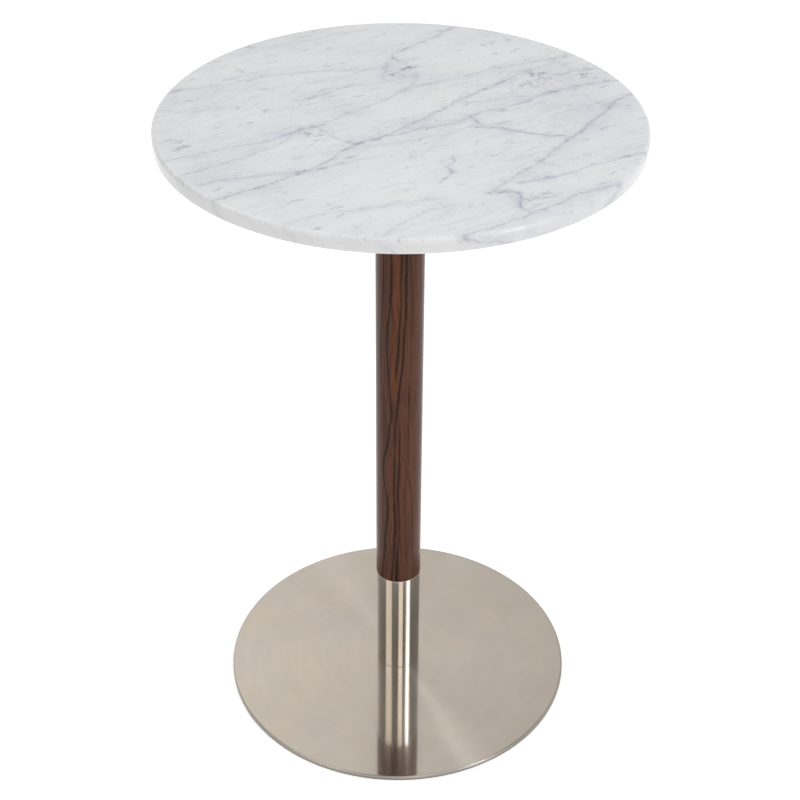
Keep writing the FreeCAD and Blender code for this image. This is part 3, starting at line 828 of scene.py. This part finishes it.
class TABLE_OT_veneer(bpy.types.Operator):
    """Model the striped veneer wrapped round the column, with its seam at the back"""

    bl_idname = "table.veneer"
    bl_label = "Column Veneer"
    bl_options = {"REGISTER", "UNDO"}

    def execute(self, context):
        s = context.scene.table_column
        seam = s.seam / s.radius
        wrap = wall_section(s.radius - s.veneer, s.radius, s.foot, s.head)
        bpy.ops.mesh.select_all(action="SELECT")
        turn = 2 * math.pi - seam
        bpy.ops.mesh.spin(steps=TUBE_STEPS, angle=turn, center=(0, 0, 0), axis=(0, 0, 1))
        bpy.ops.mesh.select_all(action="SELECT")
        bpy.ops.mesh.normals_make_consistent(inside=False)
        # the seam is centred on the back
        shape = bmesh.from_edit_mesh(wrap.data)
        end = [v.co for v in shape.verts if v.co.y > 0 and 0 < abs(v.co.x) < 2 * s.seam]
        lean = math.copysign(1, sum(co.x for co in end)) if end else 0
        bpy.ops.transform.rotate(value=lean * seam / 2, orient_axis="Z", center_override=(0, 0, 0))
        bpy.ops.object.mode_set(mode="OBJECT")
        bpy.ops.object.shade_smooth_by_angle(angle=math.radians(SMOOTH_ANGLE))
        hand_over(wrap, "column_veneer", striped_veneer(s), "wood_veneer")
        return {"FINISHED"}


class TABLE_OT_collar(bpy.types.Operator):
    """Model the brushed steel collar at the foot of the column"""

    bl_idname = "table.collar"
    bl_label = "Steel Collar"
    bl_options = {"REGISTER", "UNDO"}

    def execute(self, context):
        s = context.scene.table_steel
        inside = s.collar_radius - s.collar_wall
        tube = wall_section(inside, s.collar_radius, s.collar_foot, s.collar_head)
        for level, offset in ((s.collar_head, s.collar_edge), (s.collar_foot, s.collar_round)):
            choose(
                "VERT",
                lambda v: abs(v.co.y - s.collar_radius) < CLOSE and abs(v.co.z - level) < CLOSE,
            )
            bpy.ops.mesh.bevel(offset=offset, segments=4, affect="VERTICES")
        bpy.ops.mesh.select_all(action="SELECT")
        bpy.ops.mesh.delete(type="ONLY_FACE")
        bpy.ops.mesh.select_all(action="SELECT")
        bpy.ops.mesh.spin(steps=TUBE_STEPS, angle=2 * math.pi, center=(0, 0, 0), axis=(0, 0, 1))
        for level in (s.collar_foot + 2 * s.collar_round, s.collar_head - 2 * s.collar_edge):
            bpy.ops.mesh.select_all(action="SELECT")
            bpy.ops.mesh.bisect(plane_co=(0, 0, level), plane_no=(0, 0, 1))
        close_up(COLLAR_SMOOTH_ANGLE)
        finish = brushed_steel("collar_brushed_steel", tuple(s.steel), False, COLLAR_SHEENS)
        hand_over(tube, "column_collar", finish, "steel_collar")
        return {"FINISHED"}


class TABLE_OT_base_cover(bpy.types.Operator):
    """Model the pressed steel base cover with its turned-down rim"""

    bl_idname = "table.base_cover"
    bl_label = "Base Cover"
    bl_options = {"REGISTER", "UNDO"}

    def execute(self, context):
        s = context.scene.table_steel
        cover = begin(
            bpy.ops.mesh.primitive_circle_add,
            vertices=DISC_STEPS,
            radius=s.cover_hole,
            fill_type="NOTHING",
            location=(0, 0, s.cover_head),
        )
        bpy.ops.mesh.select_all(action="SELECT")
        # rings of faces: round the column, well inside the rim, just inside the bend, and the rim
        reach, rim = s.cover_hole, s.cover_radius
        for ring in (60 * MM, rim - 20 * MM, rim - s.cover_bend - 2 * MM, rim):
            bpy.ops.mesh.extrude_edges_indiv()
            grow = ring / reach
            bpy.ops.transform.resize(value=(grow, grow, 1), center_override=(0, 0, 0))
            reach = ring
        bpy.ops.mesh.extrude_edges_indiv()
        bpy.ops.transform.translate(value=(0, 0, s.cover_foot - s.cover_head))
        choose(
            "EDGE",
            lambda edge: at_level(s.cover_head)(edge)
            and all(math.hypot(v.co.x, v.co.y) > rim - CLOSE for v in edge.verts),
        )
        bpy.ops.mesh.bevel(offset=s.cover_bend, segments=8, profile=0.5, affect="EDGES")
        bpy.ops.mesh.select_all(action="SELECT")
        bpy.ops.mesh.normals_make_consistent(inside=False)
        shape = bmesh.from_edit_mesh(cover.data)
        if max(shape.faces, key=lambda face: face.calc_area()).normal.z < 0:
            bpy.ops.mesh.flip_normals()
        bpy.ops.object.mode_set(mode="OBJECT")
        sheet = cover.modifiers.new("sheet", "SOLIDIFY")
        sheet.thickness, sheet.offset, sheet.use_even_offset = s.cover_sheet, -1, True
        bpy.ops.object.modifier_apply(modifier=sheet.name)
        bpy.ops.object.shade_smooth_by_angle(angle=math.radians(SMOOTH_ANGLE))
        finish = brushed_steel("base_brushed_steel", tuple(s.steel), True, BASE_SHEENS)
        hand_over(cover, "base_pressing", finish, "base_cover")
        return {"FINISHED"}


class TABLE_OT_fittings(bpy.types.Operator):
    """Give the plate, weight, screws, rings, pads and other carried-over pieces their finishes"""

    bl_idname = "table.fittings"
    bl_label = "Fittings"
    bl_options = {"REGISTER", "UNDO"}

    def execute(self, context):
        groups = (
            (coated_steel, ("top_plate", "base_weight")),
            (zinc_plate, ("top_screws", "top_washers", "head_screws", "base_screws")),
            (mill_steel, ("head_plug", "core_tube", "foot_plug")),
            (turned_brass, ("threaded_inserts",)),
            (pale_nylon, ("sleeve_ring", "collar_ring")),
            (black_rubber, ("plate_gasket", "sleeve_seal", "floor_pads")),
            (plain_timber, ("sleeve_core",)),
        )
        for make, names in groups:
            finish = make()
            for name in names:
                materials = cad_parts[name].data.materials
                materials.clear()
                materials.append(finish)
        return {"FINISHED"}


# The studio, in metres. Azimuth 0 is the camera's side, and it grows to the right.
FLOOR_RADIUS, FLOOR_BORDER, FLOOR_STEPS = 40, 34, 96
BRIGHT_WAY = (-0.247, 0.737, 0.642)  # towards the brightest wall, behind and a little to the left
BRIGHT_LEVEL = 0.69  # middle of the bright band, as the upward part of the way to it
DIM_WAY = (-0.77, -0.64, 0.0)  # towards the dimmest wall, at the front left
LAMP_AIM = Vector((0, 0, 0.2))
COOL, WARM, WHITE = (0.915, 0.96, 1.0), (1.0, 0.93, 0.84), (1.0, 1.0, 1.0)
# Lamps: name, azimuth, elevation, distance, width, height, glow, tint, and if steel mirrors it.
LAMPS = (
    ("overhead", -90, 86, 3.31, 3.2, 3.2, 0.50, COOL, True),
    ("soft_fill", 90, 80, 3.35, 3.2, 3.2, 1.17, COOL, False),
    ("left_window", -51, 43, 6, 2.7, 3.4, 1.2, WARM, True),
    ("middle_window", 14.5, 43, 6, 1.75, 3.4, 1.5, WARM, True),
    ("right_window", 55.5, 43, 6, 2.0, 3.0, 1.95, WHITE, True),
    ("bright_slit", 55, 41, 6, 0.42, 2.4, 7.0, WHITE, True),
    ("high_lamp", 155.2, 63.9, 4, 0.13, 0.13, 36.0, (1.0, 0.99, 0.96), True),
)
LENS, SENSOR = 74.02, 36  # millimetres
EYE = (0, -1.8222, 1.7484)
EYE_TILT, EYE_TURN, EYE_ROLL = 0.9604, -0.0005, 0.0065  # radians


def pale_floor(settings):
    """Matt white floor that glows, most where the lamps reach it least, and is clear from below."""
    f = Finish("pale_floor")
    glow = f.ease(f.vector("LENGTH", f.place, output=1), 0.4, 2.2, 0.46, 0.53)
    f.set(
        base_color=(*settings.floor, 1),
        roughness=0.9,
        emission_color=(1, 1, 1, 1),
        emission_strength=glow,
    )
    f.surface.inputs["Specular IOR Level"].default_value = 0.1
    below = f.add("NewGeometry", {}, "Backfacing")
    clear = f.nodes.new("ShaderNodeBsdfTransparent").outputs[0]
    pale = f.add("MixShader", {0: below, 1: f.surface.outputs[0], 2: clear})
    f.links.new(pale, f.nodes["Material Output"].inputs["Surface"])
    return f.material


def studio_walls(settings):
    """Walls that are bright behind the table, dim behind the camera and pale low down."""
    world = bpy.data.worlds.new("studio_walls")
    world.use_nodes = True
    w = Nodes(world.node_tree)
    sight = w.add("TexCoord", {}, "Generated")
    _, _, rise = w.split(sight)
    bright = w.vector("DOT_PRODUCT", sight, BRIGHT_WAY, output=1)
    off_band = w.math("ABSOLUTE", w.math("SUBTRACT", rise, BRIGHT_LEVEL))
    band = w.ease(off_band, 0.04, 0.24, 1.0, 0.3)
    bright = w.math("MULTIPLY", w.math("POWER", w.math("MAXIMUM", bright, 0.0), 9.0), band)
    wall = w.blend(bright, settings.front, settings.back)
    dim = w.ease(w.vector("DOT_PRODUCT", sight, DIM_WAY, output=1), -0.1, 0.7, 1.0, 0.5)
    low = w.math("MULTIPLY", w.ease(rise, 0.42, 0.12), dim)
    wall = w.blend(low, wall, settings.horizon)
    w.links.new(wall, w.nodes["Background"].inputs["Color"])
    return world


def softbox(scene, name, azimuth, elevation, distance, width, height, glow, tint, mirrored):
    """A rectangular lamp that faces the table."""
    lamp = bpy.data.lights.new(name, "AREA")
    lamp.shape, lamp.size, lamp.size_y = "RECTANGLE", width, height
    lamp.energy = glow * math.pi * width * height
    lamp.color = tint
    holder = bpy.data.objects.new(name, lamp)
    scene.collection.objects.link(holder)
    turn, rise = math.radians(azimuth), math.radians(elevation)
    level = math.cos(rise)
    way = Vector((math.sin(turn) * level, -math.cos(turn) * level, math.sin(rise)))
    holder.location = LAMP_AIM + way * distance
    holder.rotation_euler = way.to_track_quat("Z", "Y").to_euler()
    holder.visible_glossy = mirrored


class TABLE_OT_studio(bpy.types.Operator):
    """Set up the pale floor, the soft lights and the camera"""

    bl_idname = "table.studio"
    bl_label = "Studio"
    bl_options = {"REGISTER", "UNDO"}

    def execute(self, context):
        s = context.scene.table_studio
        scene = context.scene
        scene.view_settings.view_transform = "Standard"
        scene.view_settings.look = "None"

        floor = begin(
            bpy.ops.mesh.primitive_circle_add,
            vertices=FLOOR_STEPS,
            radius=FLOOR_RADIUS,
            fill_type="NGON",
            location=(0, 0, 0),
        )
        bpy.ops.mesh.inset(thickness=FLOOR_BORDER)
        bpy.ops.object.mode_set(mode="OBJECT")
        floor.name = floor.data.name = "studio_floor"
        floor.data.materials.append(pale_floor(s))

        scene.world = studio_walls(s)
        for lamp in LAMPS:
            softbox(scene, *lamp)

        eye = bpy.data.cameras.new("photo_camera")
        eye.lens, eye.sensor_width, eye.sensor_fit = LENS, SENSOR, "AUTO"
        camera = bpy.data.objects.new("photo_camera", eye)
        scene.collection.objects.link(camera)
        camera.location = EYE
        look = Euler((EYE_TILT, 0, EYE_TURN), "XYZ").to_matrix()
        look = look @ Matrix.Rotation(EYE_ROLL, 3, "Z")
        camera.rotation_euler = look.to_euler()
        scene.camera = camera
        return {"FINISHED"}


class TABLE_PT_sidebar(bpy.types.Panel):
    """Lists the table's pieces and what can be changed on them"""

    bl_idname = "TABLE_PT_sidebar"
    bl_label = "Pedestal Table"
    bl_space_type = "VIEW_3D"
    bl_region_type = "UI"
    bl_category = "Table"

    def draw(self, context):
        for settings, operators in PARTS:
            box = self.layout.box()
            group = getattr(context.scene, settings, None)
            if group:
                for name in group.__annotations__:
                    box.prop(group, name)
            for operator in operators:
                box.operator(operator.bl_idname)


PARTS = (
    ("table_studio", (TABLE_OT_studio,)),
    ("table_marble_top", (TABLE_OT_marble_top,)),
    ("table_column", (TABLE_OT_veneer,)),
    ("table_steel", (TABLE_OT_collar, TABLE_OT_base_cover)),
    ("", (TABLE_OT_fittings,)),
)
GROUPS = {
    "table_marble_top": MarbleTopSettings,
    "table_column": ColumnSettings,
    "table_steel": SteelSettings,
    "table_studio": StudioSettings,
}
OPERATORS = [operator for _, operators in PARTS for operator in operators]
CLASSES = (*GROUPS.values(), *OPERATORS, TABLE_PT_sidebar)


def register():
    for item in CLASSES:
        bpy.utils.register_class(item)
    for name, group in GROUPS.items():
        setattr(bpy.types.Scene, name, PointerProperty(type=group))


def unregister():
    for name in GROUPS:
        delattr(bpy.types.Scene, name)
    for item in reversed(CLASSES):
        bpy.utils.unregister_class(item)


def main():
    register()
    bpy.ops.table.studio()
    bpy.ops.table.marble_top()
    bpy.ops.table.veneer()
    bpy.ops.table.collar()
    bpy.ops.table.base_cover()
    bpy.ops.table.fittings()


if __name__ == "__main__":
    main()
